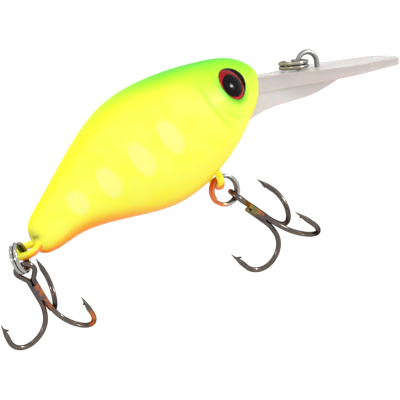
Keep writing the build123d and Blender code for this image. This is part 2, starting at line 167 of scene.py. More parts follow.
# Tint on one side of a split ring: its colour, the side along the body and up, and its strength
RING_TINTS = {
    "line_tie_ring": ("olive", (-1.0, -0.2), 0.4),
    # The belly ring's orange side is a painted reflection of the orange belly.
    "belly_split_ring": ("overspray", (-0.9, 0.1), 0.9),
    "tail_split_ring": None,
}
# Place on a painted hanger's centre line, along the body and up, and how steeply the wire climbs
PAINTED_WIRES = {"tail_hook_hanger": ((-1.5, -0.75), 0.1), "belly_hook_hanger": ((28.2, -6.7), 0.6)}

# ---------------------------------------------------------------- stage, metres unless named
PICTURE_MIDDLE = (24.8, 0.0, -7.6)  # what the camera aims at: millimetres from the tail end
CAMERA_RIGHT = Vector((0.780, -0.469, -0.414))
CAMERA_BACK = Vector((-0.393, -0.882, 0.259))  # from the lure to the camera
# Ways from the lure to lamps, as the camera sees them: to the right, up and toward it
KEY_WAY = (-0.35, 0.75, 0.6)
WIRE_GLINT_WAY = (-0.9, -0.2, 0.6)
GLINT_LEAN = 0.28  # how far the lens leans back where it mirrors the eye's lamp
LAMP_DISTANCE = 0.25
SOFT_LAMP_SIZE = 0.08  # of the key lamp and the fill lamp
FLOOR_DROP = 0.02  # of the floor below the lowest hook
FLOOR_HALF = 1.5
FLOOR_TONE = 0.80
FLOOR_GLOW = 0.38


# ---------------------------------------------------------------- meshes
def in_frame(points):
    """Body points, in millimetres from the tail end, as metres in the frame."""
    return (np.asarray(points, float) + TAIL_END) * MM


def grid_triangles(rows, columns, around):
    """Vertex numbers of the triangles of a grid: two for each cell; around closes the columns."""
    row = np.arange(rows - 1)[:, None] * columns
    column = np.arange(columns if around else columns - 1)[None, :]
    beside = (column + 1) % columns
    a, b = row + column, row + beside
    c, d = a + columns, b + columns
    return np.concatenate([
        np.stack([a, b, d], -1).reshape(-1, 3), np.stack([a, d, c], -1).reshape(-1, 3)
    ])


def solid_mesh(name, points, triangles, marks=None):
    """A mesh of points in metres. Points that coincide become one, and triangles that this leaves
    without area are dropped, so poles and seams are closed. marks are values for each point."""
    coincident = 1e-4 * MM
    keys = np.round(points / coincident).astype(np.int64)
    _, first, which = np.unique(keys, axis=0, return_index=True, return_inverse=True)
    triangles = which.reshape(-1)[triangles]
    a, b, c = triangles.T
    triangles = triangles[(a != b) & (b != c) & (c != a)]
    mesh = bpy.data.meshes.new(name)
    mesh.vertices.add(len(first))
    mesh.vertices.foreach_set("co", points[first].astype(np.float32).ravel())
    mesh.loops.add(triangles.size)
    mesh.loops.foreach_set("vertex_index", triangles.astype(np.int32).ravel())
    mesh.polygons.add(len(triangles))
    mesh.polygons.foreach_set("loop_start", np.arange(0, triangles.size, 3, dtype=np.int32))
    mesh.polygons.foreach_set("use_smooth", np.ones(len(triangles), bool))
    for mark, values in (marks or {}).items():
        attribute = mesh.attributes.new(mark, "FLOAT", "POINT")
        attribute.data.foreach_set("value", values[first].astype(np.float32))
    mesh.update(calc_edges=True)
    mesh.validate()
    return mesh


def add_piece(name, mesh, material, body, slot, *nodes):
    """An object of that mesh, which rides on a body and stands for CAD nodes."""
    mesh.materials.append(material)
    piece = bpy.data.objects.new(name, mesh)
    bpy.context.scene.collection.objects.link(piece)
    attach(piece, body)
    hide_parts(*nodes)


def dress(material, *nodes):
    """CAD nodes keep their shape and get this material."""
    for node in nodes:
        for slot in frame["nodes"][node].material_slots:
            slot.material = material


# ---------------------------------------------------------------- body form
def smooth_curve(places, values, at):
    """Cubic curve through rows of values at places. Its third derivative has no step at the second
    place from either end, so each end run and its neighbour are one cubic."""
    gap = np.diff(places)
    slope = np.diff(values, axis=0) / gap[:, None]
    size = len(places)
    system = np.zeros((size, size))
    inner = np.arange(1, size - 1)
    system[inner, inner - 1] = gap[:-1]
    system[inner, inner] = 2 * (gap[:-1] + gap[1:])
    system[inner, inner + 1] = gap[1:]
    system[0, :3] = gap[1], -(gap[0] + gap[1]), gap[0]
    system[-1, -3:] = gap[-1], -(gap[-2] + gap[-1]), gap[-2]
    right = np.zeros(values.shape)
    right[1:-1] = 6 * np.diff(slope, axis=0)
    bend = np.linalg.solve(system, right)
    i = np.clip(np.searchsorted(places, at, side="right") - 1, 0, size - 2)
    t, h = (at - places[i])[:, None], gap[i][:, None]
    start = slope[i] - h * (2 * bend[i] + bend[i + 1]) / 6
    return values[i] + t * start + t**2 * bend[i] / 2 + t**3 * (bend[i + 1] - bend[i]) / (6 * h)


def lengthwise_lines():
    """Place along the body, belly line, back line and half breadth, close together. The lines run
    through the sections, which the skin's mean length from one to the next spaces."""
    x, belly, back, half = SECTIONS[:, :, None].transpose(1, 0, 2)
    angle = np.linspace(0, 2 * math.pi, 16, endpoint=False)
    middle, tall = (belly + back) / 2, (back - belly) / 2
    ring = np.stack([x + 0 * angle, half * np.sin(angle), middle + tall * np.cos(angle)], -1)
    steps = np.linalg.norm(np.diff(ring, axis=0), axis=-1).mean(axis=1)
    places = np.concatenate([[0], np.cumsum(steps)])
    return smooth_curve(places, SECTIONS, np.linspace(0, places[-1], 6000))


LINES = lengthwise_lines()


def body_lines(x):
    """Belly line, back line and half breadth of the body at places along it, in millimetres."""
    return tuple(np.interp(x, LINES[:, 0], LINES[:, column]) for column in (1, 2, 3))


def smooth_step(low, high, value):
    """0 up to low, 1 from high on, and a smooth rise between."""
    t = np.clip((value - low) / (high - low), 0, 1)
    return t * t * (3 - 2 * t)


def eye_axes(side):
    """Middle of the eye socket's floor, its normal out of the head and two axes across it. The
    sections' straight joins give the flank's breadth there."""
    forward = math.sin(EYE_FORWARD) * math.cos(EYE_UP)
    outward = math.cos(EYE_FORWARD) * math.cos(EYE_UP)
    normal = np.array((forward, side * outward, math.sin(EYE_UP)))
    x, z = EYE_PLACE
    belly, back, half = (np.interp(x, SECTIONS[:, 0], SECTIONS[:, k]) for k in (1, 2, 3))
    level = (z - (back + belly) / 2) / ((back - belly) / 2)
    surface = np.array((x, side * half * math.sqrt(1 - level * level), z))
    across = np.cross((0, 0, 1), normal)
    across /= np.linalg.norm(across)
    return surface - normal * EYE_RECESS, normal, across, np.cross(normal, across)


def clear_lens(side, rows=30, columns=96, edge_rows=8):
    """The lens over the eye as a closed grid: a profile turned round the eye's axis. From the top the
    profile is the dome's arc, a small quarter round at its edge, the straight wall and the flat base.
    Rows crowd together at the base's edge so that its shading stays crisp."""
    floor, axis, u_axis, v_axis = eye_axes(side)
    dome_radius = (EYE_RADIUS**2 + LENS_DOME**2) / (2 * LENS_DOME)
    top = LENS_SEAT + LENS_WALL + LENS_DOME
    reach = math.asin((EYE_RADIUS - 0.7 * LENS_EDGE) / dome_radius)
    arc = np.linspace(0, reach, rows)
    turn = np.linspace(reach, math.pi / 2, edge_rows)[1:]
    middle_out = (dome_radius - LENS_EDGE) * math.sin(reach)
    middle_up = top - dome_radius * (1 - math.cos(reach)) - LENS_EDGE * math.cos(reach)
    edge_out = middle_out + LENS_EDGE
    tight, loose = 0.01, 0.05
    out = np.concatenate([
        dome_radius * np.sin(arc),
        middle_out + LENS_EDGE * np.sin(turn),
        [edge_out, edge_out, edge_out - tight, edge_out - loose, 0],
    ])
    high = np.concatenate([
        top - dome_radius * (1 - np.cos(arc)),
        middle_up + LENS_EDGE * np.cos(turn),
        [LENS_SEAT + loose, LENS_SEAT + tight, LENS_SEAT, LENS_SEAT, LENS_SEAT],
    ])
    out[0] = 0
    round_eye = np.linspace(0, 2 * math.pi, columns, endpoint=False)
    u = out[:, None] * np.cos(round_eye)
    v = out[:, None] * np.sin(round_eye)
    points = floor + u[..., None] * u_axis + v[..., None] * v_axis + high[:, None, None] * axis
    triangles = grid_triangles(len(out), columns, around=True)[:, ::-1]
    return in_frame(points.reshape(-1, 3)), triangles


def distance_to_line(x, z, line):
    """Distance of side-view points from a chain of straight runs, and the share of the way along."""
    line = np.asarray(line, float)
    nearest = np.full(x.shape, 1e9)
    share = np.zeros(x.shape)
    count = len(line) - 1
    for i in range(count):
        (x0, z0), (x1, z1) = line[i], line[i + 1]
        dx, dz = x1 - x0, z1 - z0
        t = np.clip(((x - x0) * dx + (z - z0) * dz) / (dx * dx + dz * dz), 0, 1)
        distance = np.hypot(x - x0 - t * dx, z - z0 - t * dz)
        nearer = distance < nearest
        nearest = np.where(nearer, distance, nearest)
        share = np.where(nearer, (i + t) / count, share)
    return nearest, share


def table(x, rows):
    """Value along the body from rows of place and value, joined by straight runs."""
    places, values = np.array(rows, float).T
    return np.interp(x, places, values)


def crease(x, z, line, half_breadth):
    """Depth of a crease as a share: a soft groove along the line, shallower towards its ends."""
    apart, share = distance_to_line(x, z, line)
    depth = np.sin(math.pi * np.clip(share, 0.02, 0.98)) ** 0.5
    return depth * np.exp(-((apart / half_breadth) ** 2))


def patch_share(x, z):
    """1 inside the netted patches, which are ovals that lean back, fading to 0 round them."""
    share = np.zeros_like(x)
    for patch_x, patch_z, tall_half, wide_half in PATCHES:
        dx, dz = x - patch_x, z - patch_z
        a = (dx * math.cos(PATCH_LEAN) + dz * math.sin(PATCH_LEAN)) / wide_half
        b = (-dx * math.sin(PATCH_LEAN) + dz * math.cos(PATCH_LEAN)) / tall_half
        share = np.maximum(share, 1 - smooth_step(0.78, 1.12, np.hypot(a, b)))
    return share


def eye_shade(points, side):
    """Share of the green that lies against the eye's rim, below it and to one side. That side is
    behind the right eye and ahead of the left one, as the first axis across the eye turns."""
    floor, axis, u_axis, v_axis = eye_axes(side)
    offset = points - floor
    u, v = offset @ u_axis, offset @ v_axis
    radius = np.hypot(u, v)
    low_side = smooth_step(-0.35, 0.75, (-0.75 * u - 0.65 * v) / np.maximum(radius, 1e-6))
    on_head = smooth_step(0.0, 0.5, offset @ axis + 1.2)
    return (1 - smooth_step(0.1, 1.15, radius - EYE_RADIUS)) * low_side * on_head


def paint_marks(points, side):
    """Where each sprayed colour lies: shares from 0 to 1 for every point of the surface. up is the
    angle round the section from the back line, so spray from above or below fades along it."""
    x, y, z = points[..., 0], points[..., 1], points[..., 2]
    belly, back, _ = body_lines(x)
    middle, tall = (belly + back) / 2, np.maximum((back - belly) / 2, 1e-6)
    up = np.arccos(np.clip((z - middle) / tall, -1, 1))
    down = math.pi - up
    lime_reach = table(x, LIME_REACH)
    flank = smooth_step(0.3, 0.9, np.abs(y))
    faint_smear = 0.4 * smooth_step(-0.2, 0.3, z) * (1 - smooth_step(1.1, 2.0, z))
    thick_smear = np.exp(-(((z - 0.45) / 0.42) ** 2))
    gill = crease(x, z, GILL_LINE, GILL_HALF)
    cheek = 0.6 * crease(x, z, CHEEK_LINE, CHEEK_HALF)
    return {
        "rich": 1 - smooth_step(0.15, 1.0, up),
        "gold": 1 - smooth_step(0.3, 1.25, down),
        "lime": table(x, LIME_SHARE) * (1 - smooth_step(0.35 * lime_reach, lime_reach, up)),
        "back": table(x, BACK_SHARE) * (1 - smooth_step(0.05, table(x, BACK_REACH), up)),
        "ridge": table(x, RIDGE_SHARE) * (1 - smooth_step(0.0, 0.42, up)),
        "belly": 1 - smooth_step(table(x, ORANGE_FULL), table(x, ORANGE_GONE), down),
        "tail": (1 - smooth_step(0.8, 4.5, x)) * (1 - smooth_step(0.3, 0.85, down)),
        "shade": eye_shade(points, side),
        "gill": flank * np.maximum(gill, cheek),
        "scales": flank * patch_share(x, z),
        "smear": np.exp(-((x / 0.55) ** 2)) * np.maximum(faint_smear, thick_smear),
    }


def body_half(side, rows=430, columns=150, inner_columns=18):
    """One shell of the body as a closed grid. Along the rows x runs from the tail end to the nose,
    in steps that are a tenth shorter in the middle. Round the columns an angle runs from the belly to
    the back: the point lies half the breadth times its sine out from the parting plane, and half the
    height times its cosine below the middle. The columns go back along the inside, a wall's thickness
    inward, so the rim lies in the parting plane."""
    t = np.linspace(0, 1, rows)
    x = BODY_LENGTH * (t + 0.1 * np.sin(2 * math.pi * t) / (2 * math.pi))
    x = np.concatenate([[0, 0], x[1:-1], [BODY_LENGTH, BODY_LENGTH]])
    rows = len(x)
    belly, back, half = body_lines(x)
    middle, tall = (belly + back) / 2, (back - belly) / 2
    closing = np.ones(rows)
    closing[[0, -1]] = 0
    angle = np.linspace(0, math.pi, columns)
    out = np.sin(angle)
    out[[0, -1]] = 0
    along = np.repeat(x[:, None], columns, 1)
    outward = side * (half * closing)[:, None] * out
    upward = middle[:, None] - (tall * closing)[:, None] * np.cos(angle)
    points = np.stack([along, outward, upward], -1)
    marks = paint_marks(points, side)

    across = np.gradient(points, axis=1)
    forward = np.gradient(points, axis=0)
    normal = np.cross(forward, across) * side
    normal /= np.maximum(np.linalg.norm(normal, axis=-1, keepdims=True), 1e-9)
    off_rim = smooth_step(0.15, 0.6, np.abs(outward))
    depth = settings().crease_depth / MM * marks["gill"] * off_rim
    points -= normal * depth[..., None]
    points, marks["socket"] = cut_socket(points, side)

    x_in = CAVITY[0] + (CAVITY[1] - CAVITY[0]) * (x / BODY_LENGTH)
    belly_in, back_in, half_in = body_lines(x_in)
    end_round = 4.0  # square millimetres: the hollow reaches its full section 0.15 mm from its ends
    from_ends = (x_in - CAVITY[0]) * (CAVITY[1] - x_in)
    end = np.sqrt(np.clip(from_ends / end_round, 0, 1)) * closing
    back_angle = np.linspace(math.pi, 0, inner_columns)
    out_in = np.sin(back_angle)
    out_in[[0, -1]] = 0
    middle_in = ((belly_in + back_in) / 2)[:, None]
    tall_in = (((back_in - belly_in) / 2 - WALL) * end)[:, None]
    along_in = np.repeat(x_in[:, None], inner_columns, 1)
    least_half = 0.1
    outward_in = side * (np.maximum(half_in - WALL, least_half) * end)[:, None] * out_in
    inner = np.stack([along_in, outward_in, middle_in - tall_in * np.cos(back_angle)], -1)

    everything = np.concatenate([points, inner], 1)
    plain = np.zeros((rows, inner_columns))
    all_marks = {key: np.concatenate([value, plain], 1).ravel() for key, value in marks.items()}
    triangles = grid_triangles(rows, columns + inner_columns, around=True)
    if side < 0:
        triangles = triangles[:, ::-1]
    return in_frame(everything.reshape(-1, 3)), triangles, all_marks


def cut_socket(points, side):
    """Points inside the eye's rim drop straight to the socket's floor, and the nearest ones outside
    or inside move onto the rim, so the socket's edge is round and sharp. Also 1 for points in it."""
    floor, axis, u_axis, v_axis = eye_axes(side)
    offset = points - floor
    high, u, v = offset @ axis, offset @ u_axis, offset @ v_axis
    radius = np.hypot(u, v)
    rim = EYE_RADIUS + EYE_GAP
    snap = 0.075  # about half of what lies between two points
    near = (high > -1.5) & (radius < rim + 0.5)  # not on the far side of the head
    snapped = np.where(np.abs(radius - rim) < snap, rim, radius)
    scale = np.where(near, snapped / np.maximum(radius, 1e-6), 1)
    high = np.where(near & (snapped < rim), 0, high)
    moved = floor + (u * scale)[..., None] * u_axis + (v * scale)[..., None] * v_axis
    wall = (near & (snapped <= rim)).astype(float)
    return np.where(near[..., None], moved + high[..., None] * axis, points), wall


# ---------------------------------------------------------------- materials
def linear(colour):
    """A colour as it is written on a colour chart, in Blender's linear values."""
    c = np.asarray(colour, float)
    return tuple(np.where(c <= 0.04045, c / 12.92, ((c + 0.055) / 1.055) ** 2.4))


def opaque(colour):
    """A colour with its fourth value, as node sockets take it."""
    return tuple(colour) + (1.0,)


class Paint:
    """Builds one node material: the links between its nodes are written as calls."""

    def __init__(self, name, **sockets):
        self.material = bpy.data.materials.new(name)
        self.material.use_nodes = True
        self.tree = self.material.node_tree
        self.shader = self.tree.nodes["Principled BSDF"]
        for key, value in sockets.items():
            self.shader.inputs[key.replace("_", " ")].default_value = value
        self.place = self.tree.nodes.new("ShaderNodeTexCoord").outputs["Object"]

    def node(self, kind, **facts):
        """A new node with these facts set."""
        node = self.tree.nodes.new(kind)
        for key, value in facts.items():
            setattr(node, key, value)
        return node

    def feed(self, socket, value):
        """Links another node's output to the socket, or writes a plain value in it."""
        if isinstance(value, bpy.types.NodeSocket):
            self.tree.links.new(value, socket)
        else:
            socket.default_value = value

    def math(self, operation, *values, clamp=False):
        """Result of one sum on numbers or outputs."""
        node = self.node("ShaderNodeMath", operation=operation, use_clamp=clamp)
        for socket, value in zip(node.inputs, values):
            self.feed(socket, value)
        return node.outputs[0]

    def mix(self, share, first, second):
        """A colour between two. The node's sockets for colours have no names of their own."""
        node = self.node("ShaderNodeMix", data_type="RGBA")
        self.feed(node.inputs["Factor"], share)
        self.feed(node.inputs[6], first)
        self.feed(node.inputs[7], second)
        return node.outputs[2]

    def mark(self, name):
        """Values that the mesh holds under this name."""
        return self.node("ShaderNodeAttribute", attribute_name=name).outputs["Fac"]

    def parts(self, vector):
        """The three coordinates of a place."""
        node = self.node("ShaderNodeSeparateXYZ")
        self.feed(node.inputs[0], vector)
        return tuple(node.outputs)

    def seated(self, centre, axes, vector=None):
        """Coordinates along three axes from a centre, all in metres in the frame."""
        node = self.node("ShaderNodeMapping", vector_type="TEXTURE")
        self.feed(node.inputs["Vector"], vector or self.place)
        node.inputs["Location"].default_value = centre
        node.inputs["Rotation"].default_value = Matrix(axes).transposed().to_euler()
        return self.parts(node.outputs[0])

    def length(self, first, second):
        """Square root of the sum of two squares."""
        squares = self.math("MULTIPLY_ADD", second, second, self.math("MULTIPLY", first, first))
        return self.math("SQRT", squares)

    def noise(self, size, detail, roughness=0.5):
        """Cloudy pattern whose patches are about size metres across."""
        node = self.node("ShaderNodeTexNoise")
        self.feed(node.inputs["Vector"], self.place)
        node.inputs["Scale"].default_value = 1 / size
        node.inputs["Detail"].default_value = detail
        node.inputs["Roughness"].default_value = roughness
        return node.outputs["Fac"]

    def spread(self, value, low, high, bottom=0.0, top=1.0):
        """A smooth change from bottom to top as the value goes from low to high."""
        node = self.node("ShaderNodeMapRange", interpolation_type="SMOOTHSTEP")
        self.feed(node.inputs["Value"], value)
        for key, number in (("From Min", low), ("From Max", high), ("To Min", bottom), ("To Max", top)):
            node.inputs[key].default_value = number
        return node.outputs["Result"]

    def bump(self, height, distance, strength):
        """Fine relief, whose height from 0 to 1 stands for a distance in metres."""
        node = self.node("ShaderNodeBump")
        node.inputs["Distance"].default_value = distance
        node.inputs["Strength"].default_value = strength
        self.feed(node.inputs["Height"], height)
        self.feed(self.shader.inputs["Normal"], node.outputs["Normal"])

    def colour(self, value):
        """The surface's colour, which later coats may still cover."""
        self.base = value
        self.feed(self.shader.inputs["Base Color"], value)

    def roughness(self, value):
        self.feed(self.shader.inputs["Roughness"], value)

    def glow(self, value, strength):
        """Light that the surface adds by itself, in a colour."""
        self.feed(self.shader.inputs["Emission Color"], value)
        self.shader.inputs["Emission Strength"].default_value = strength


def settings():
    return bpy.context.scene.crankbait


def body_paint():
    """Sprayed body colours: fluorescent yellow, richer above and below, with green, lime and orange
    faded in, pale netted patches and a smear of overspray at the tail. The paler flank between the
    richer yellows is partly a painted highlight, the eye sockets' walls carry painted shade, and the
    paint has a glow that is partly painted light."""
    s = settings()
    paint = Paint("sprayed_body", Specular_IOR_Level=0.2)
    grain = paint.noise(0.16 * MM, 2.0)
    cloud = paint.noise(3.0 * MM, 2.0)

    def sprayed(name, strength, soft=0.10):
        """Share of a coat, whose edge breaks up a little in grains and clouds."""
        wander = paint.math("MULTIPLY_ADD", grain, soft, paint.math("MULTIPLY_ADD", cloud, soft, -soft))
        value = paint.math("MULTIPLY_ADD", wander, paint.mark(name), paint.mark(name), clamp=True)
        return paint.math("MULTIPLY", value, strength)

    scales, gill = paint.mark("scales"), paint.mark("gill")
    net = scale_net(paint)
    colour = paint.mix(paint.spread(cloud, 0.3, 0.7), opaque(s.yellow), opaque(s.pale_yellow))
    for name, strength, tint in UNDER_COATS:
        colour = paint.mix(sprayed(name, strength), colour, opaque(getattr(s, tint)))
    cream = paint.mix(net, opaque(s.net_cream), opaque(s.patch_cream))
    colour = paint.mix(paint.math("MULTIPLY", scales, 0.85), colour, cream)
    for name, strength, tint in TOP_COATS:
        colour = paint.mix(sprayed(name, strength), colour, opaque(getattr(s, tint)))
    colour = paint.mix(paint.math("MULTIPLY", gill, 0.28), colour, opaque(s.green))
    colour = paint.mix(sprayed("smear", 0.95, 0.3), colour, opaque(s.olive))
    colour = paint.mix(specks(paint), colour, opaque(s.olive))
    # The socket's wall takes the pupil's black: painted shade in the recess round the eye.
    colour = paint.mix(paint.mark("socket"), colour, opaque(s.pupil))
    paint.colour(colour)
    # Emission on the paint: partly its real fluorescence, partly painted light that brightens the body.
    paint.glow(colour, s.glow)
    paint.roughness(paint.spread(grain, 0.3, 0.7, 0.36, 0.5))
    relief = paint.math("MULTIPLY_ADD", paint.math("MULTIPLY", net, scales), 0.4, grain)
    paint.bump(relief, 0.006 * MM, 0.3)
    return paint.material


def specks(paint):
    """A few faint specks of dirt in the paint, each about half a millimetre across."""
    spacing = 3.0 * MM
    cells = paint.node("ShaderNodeTexVoronoi")
    paint.feed(cells.inputs["Vector"], paint.place)
    cells.inputs["Scale"].default_value = 1 / spacing
    chosen = paint.spread(paint.parts(cells.outputs["Color"])[0], 0.82, 0.86)
    dot = paint.spread(cells.outputs["Distance"], 0.03, 0.11, 0.3, 0.0)
    return paint.math("MULTIPLY", dot, chosen)


def scale_net(paint):
    """Two sets of slanted threads, as a net leaves them in the spray: 0 on a thread, 1 between."""
    x, _, z = paint.parts(paint.place)
    threads = []
    for slope in (NET_SLOPE, -NET_SLOPE):
        across = paint.math("MULTIPLY_ADD", z, slope, x)
        wave = paint.math("SINE", paint.math("MULTIPLY", across, 2 * math.pi / (NET_PITCH * MM)))
        threads.append(paint.spread(wave, -1.0, -0.2, 0.25))
    return paint.math("MULTIPLY", *threads)


def plain_metal(name, colour, roughness, worn, cloud_size=0.6, edge=0.5):
    """Drawn or plated wire: its colour and gloss vary a little, with fine draw marks. worn is the
    share of the colour that its dull clouds keep, and edge the grey where it turns away."""
    paint = Paint(name, Metallic=1.0, Specular_Tint=opaque((edge, edge, edge)))
    cloud = paint.noise(cloud_size * MM, 3.0, 0.55)
    fine = paint.noise(0.10 * MM, 2.0, 0.5)
    dull = worn * np.array(colour)
    paint.colour(paint.mix(paint.spread(cloud, 0.3, 0.75), opaque(colour), opaque(dull)))
    paint.roughness(paint.spread(fine, 0.3, 0.7, 0.8 * roughness, 1.25 * roughness))
    paint.bump(fine, 0.0008 * MM, 0.25)
    return paint


def node_points(node):
    """The points of a CAD node's mesh, metres in the frame."""
    mesh = frame["nodes"][node].data
    points = np.empty(3 * len(mesh.vertices))
    mesh.vertices.foreach_get("co", points)
    return points.reshape(-1, 3)


def ring_metal(node):
    """Nickel plate of one split ring, with painted shade at the ring's inner edge and in the slit between
    its two coils. One side may take body colour: olive on the line tie's ring, and on the belly ring a
    painted reflection of the orange belly."""
    s = settings()
    points = node_points(node)
    centre = (points.min(axis=0) + points.max(axis=0)) / 2
    _, _, axes = np.linalg.svd(points - points.mean(axis=0), full_matrices=False)
    if np.linalg.det(axes) < 0:
        axes = -axes
    reach = np.linalg.norm((points - centre) @ axes[:2].T, axis=1)
    inner, outer = reach.min(), reach.max()
    paint = plain_metal(node + "_nickel", s.nickel, 0.16, 0.86)
    u, v, along = paint.seated(Vector(centre), axes.tolist())
    # Painted shade: the ring's bore and the slit between its coils darken towards the dull plating colour.
    bore = paint.spread(paint.length(u, v), inner, inner + 0.45 * (outer - inner), 0.85, 0.0)
    slit = paint.spread(paint.math("ABSOLUTE", along), 0.02 * MM, 0.10 * MM, 0.9, 0.0)
    colour = paint.mix(paint.math("MAXIMUM", bore, slit), paint.base, opaque(s.ring_shadow))
    if RING_TINTS[node]:
        tint, (ahead, above), strength = RING_TINTS[node]
        x, _, z = paint.seated(Vector(centre), Matrix.Identity(3))
        toward = paint.math("ADD", paint.math("MULTIPLY", x, ahead), paint.math("MULTIPLY", z, above))
        share = paint.spread(toward, -0.1 * outer, 0.6 * outer, 0.0, strength)
        colour = paint.mix(share, colour, opaque(getattr(s, tint)))
    paint.colour(colour)
    return paint.material


def hook_metal(end):
    """Black nickel of one treble hook, tinted in soft balls where spray or a reflection colours it."""
    s = settings()
    paint = plain_metal(end + "_black_nickel", s.steel, 0.24, 0.74, cloud_size=1.1, edge=0.1)
    colour = paint.base
    patch = paint.spread(paint.noise(0.8 * MM, 2.0), 0.38, 0.62, 0.35, 1.0)
    for middle, radius, tint, strength in HOOK_TINTS[end]:
        x, y, z = paint.seated(Vector(in_frame(middle)), Matrix.Identity(3))
        apart = paint.length(paint.length(x, y), z)
        share = paint.spread(apart, 0.5 * radius * MM, radius * MM, strength, 0.0)
        colour = paint.mix(paint.math("MULTIPLY", share, patch), colour, opaque(getattr(s, tint)))
    paint.colour(colour)
    return paint.material


def red_foil():
    """Red foil of both eye discs: flecked and darker at the upper front, with a printed pupil and a
    dark rim. The right disc takes the left one's colours, mirrored."""
    s = settings()
    foil = Paint("red_foil", Roughness=0.5, Specular_IOR_Level=0.03)
    x, y, z = foil.parts(foil.place)
    left_place = foil.node("ShaderNodeCombineXYZ")
    for socket, value in zip(left_place.inputs, (x, foil.math("ABSOLUTE", y), z)):
        foil.feed(socket, value)
    floor, normal, backward, upward = eye_axes(1)
    axes = np.stack([backward, upward, normal]).tolist()
    u, v, _ = foil.seated(Vector(in_frame(floor)), axes, left_place.outputs[0])
    fleck = foil.spread(foil.noise(0.35 * MM, 3.0, 0.6), 0.35, 0.65)
    upper_front = foil.spread(foil.math("SUBTRACT", v, u), -1.6 * MM, 1.6 * MM)
    shade = foil.math("MULTIPLY_ADD", fleck, 0.3, foil.math("MULTIPLY", upper_front, 0.7))
    colour = foil.mix(shade, opaque(s.iris), opaque(s.iris_shade))
    across = foil.math("DIVIDE", foil.math("ADD", u, PUPIL_AHEAD * MM), s.pupil_width / 2)
    above = foil.math("DIVIDE", foil.math("ADD", v, PUPIL_BELOW * MM), s.pupil_height / 2)
    pupil = foil.spread(foil.length(across, above), 0.97, 1.03, 1.0, 0.0)
    rim = foil.spread(foil.length(u, v), (EYE_RADIUS - 0.22) * MM, (EYE_RADIUS - 0.10) * MM)
    foil.colour(foil.mix(foil.math("MAXIMUM", pupil, rim), colour, opaque(s.pupil)))
    foil.bump(fleck, 0.01 * MM, 0.2)
    return foil.material


def clear_resin():
    """Clear resin of the lenses, with a faint haze."""
    resin = Paint("clear_resin", IOR=1.18, Transmission_Weight=1.0)
    haze = resin.noise(0.8 * MM, 2.0)
    resin.roughness(resin.spread(haze, 0.3, 0.7, 0.09, 0.12))
    return resin.material


def milky_plastic():
    """Milky plastic of the lip. Lighter in the middle of its thickness, as painted light through the
    plastic, and in the neck under the blade, as painted light against the blade's shade. Its scuffs are
    lighter too, and it has a painted glow."""
    s = settings()
    paint = Paint("milky_plastic", Specular_IOR_Level=0.3, Subsurface_Weight=0.5, Subsurface_Scale=1.2 * MM)
    along = [math.cos(LIP_SLOPE), 0, -math.sin(LIP_SLOPE)]
    over = [math.sin(LIP_SLOPE), 0, math.cos(LIP_SLOPE)]
    root = (BODY_LENGTH + LIP_ROOT[0], 0, LIP_ROOT[1])
    _, _, height = paint.seated(Vector(in_frame(root)), [along, [0, 1, 0], over])
    cloud = paint.noise(4 * MM, 3.0)
    depth = paint.math("SUBTRACT", paint.math("MULTIPLY", cloud, 0.9 * MM), height)
    fade = paint.spread(depth, 2.2 * MM, 5.0 * MM, 1.0, 0.25)
    # Painted light: a lighter band through the middle of the lip's thickness, fading deeper down.
    lit_band = paint.math("MULTIPLY", paint.spread(depth, 0.6 * MM, 1.5 * MM), fade)
    scuff = paint.spread(paint.noise(0.5 * MM, 4.0, 0.7), 0.55, 0.8, 0.0, 0.25)
    # Painted light: the neck under the blade is painted lighter to offset the shade that the blade casts
    # there.
    neck = paint.spread(height, -2.6 * MM, -1.5 * MM, 1.0, 0.0)
    colour = paint.mix(lit_band, opaque(s.lip_colour), opaque(s.lip_scuff_and_lit_band))
    colour = paint.mix(scuff, colour, opaque(s.lip_scuff_and_lit_band))
    colour = paint.mix(neck, colour, opaque(s.lip_neck))
    paint.colour(colour)
    # Painted glow: emission that lightens the lip in place of light passing through the plastic.
    paint.glow(colour, s.lip_glow)
    paint.roughness(paint.spread(cloud, 0.3, 0.7, 0.2, 0.36))
    paint.bump(paint.noise(0.5 * MM, 2.0), 0.002 * MM, 0.2)
    return paint.material


def painted_wire(node):
    """Body paint on a hanger's wire: yellow, and orange on its underside, which follows its climb."""
    s = settings()
    (ahead, above), climb = PAINTED_WIRES[node]
    paint = Paint(node + "_paint", Specular_IOR_Level=0.3)
    x, _, z = paint.seated(Vector(in_frame((ahead, 0, above))), Matrix.Identity(3))
    cloud = paint.noise(0.7 * MM, 2.0)
    height = paint.math("SUBTRACT", z, paint.math("MULTIPLY", x, climb))
    height = paint.math("MULTIPLY_ADD", cloud, 0.3 * MM, height)
    under = paint.spread(height, -0.35 * MM, 0.35 * MM, 0.9, 0.0)
    colour = paint.mix(paint.spread(cloud, 0.35, 0.7), opaque(s.yellow), opaque(s.rich_yellow))
    colour = paint.mix(under, colour, opaque(s.tail_orange))
    paint.colour(colour)
    # Emission on the wire's paint: partly its real fluorescence, partly painted light that brightens it.
    paint.glow(colour, s.glow)
    paint.roughness(paint.spread(cloud, 0.3, 0.7, 0.32, 0.48))
    paint.bump(paint.noise(0.15 * MM, 2.0), 0.004 * MM, 0.3)
    return paint.material


# ---------------------------------------------------------------- settings
def colour_setting(name, description, colour):
    return FloatVectorProperty(
        name=name, description=description, subtype="COLOR", size=3, min=0, max=1, default=linear(colour)
    )


def share_setting(name, description, default):
    return FloatProperty(
        name=name, description=description, subtype="FACTOR", min=0, max=1, default=default
    )


def length_setting(name, description, default):
    return FloatProperty(name=name, description=description, unit="LENGTH", min=0, default=default)


def power_setting(name, description, default):
    return FloatProperty(name=name, description=description, unit="POWER", min=0, default=default)


